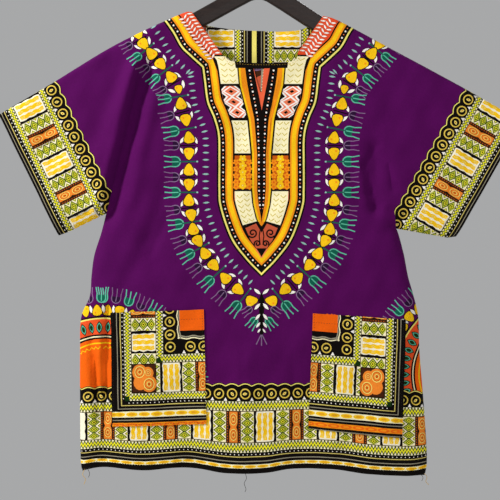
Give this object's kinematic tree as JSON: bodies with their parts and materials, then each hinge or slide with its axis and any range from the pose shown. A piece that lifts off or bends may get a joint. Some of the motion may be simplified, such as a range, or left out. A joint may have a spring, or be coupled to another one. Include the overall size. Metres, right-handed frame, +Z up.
{
  "type": "dashiki shirt on a coat hanger",
  "caption": "Short-sleeved African print tunic shirt with open neck, front slit and patch pockets, hanging flat on a plain wooden coat hanger.",
  "frame": {"origin": "inner top of the hanger's hook, where a rail holds it", "axes": "+Z up, +X to the right of someone who looks at the shirt's front, and the front faces -Y"},
  "size_m": [0.9136, 0.0434, 0.9531],
  "materials": {
    "body_print": "printed plain-weave cotton, soft sheen",
    "border_print": "printed plain-weave cotton, soft sheen",
    "dark_wood": "dark stained, satin lacquer",
    "hook_steel": "bright drawn wire"
  },
  "bodies": {
    "root": {"front_panel": "body_print", "back_panel": "body_print", "sleeve_left": "body_print", "sleeve_right": "body_print", "pocket_left": "border_print", "pocket_right": "border_print", "neck_facing": "border_print", "hanger_bar": "dark_wood", "hanger_hook": "hook_steel"}
  },
  "joints": []
}
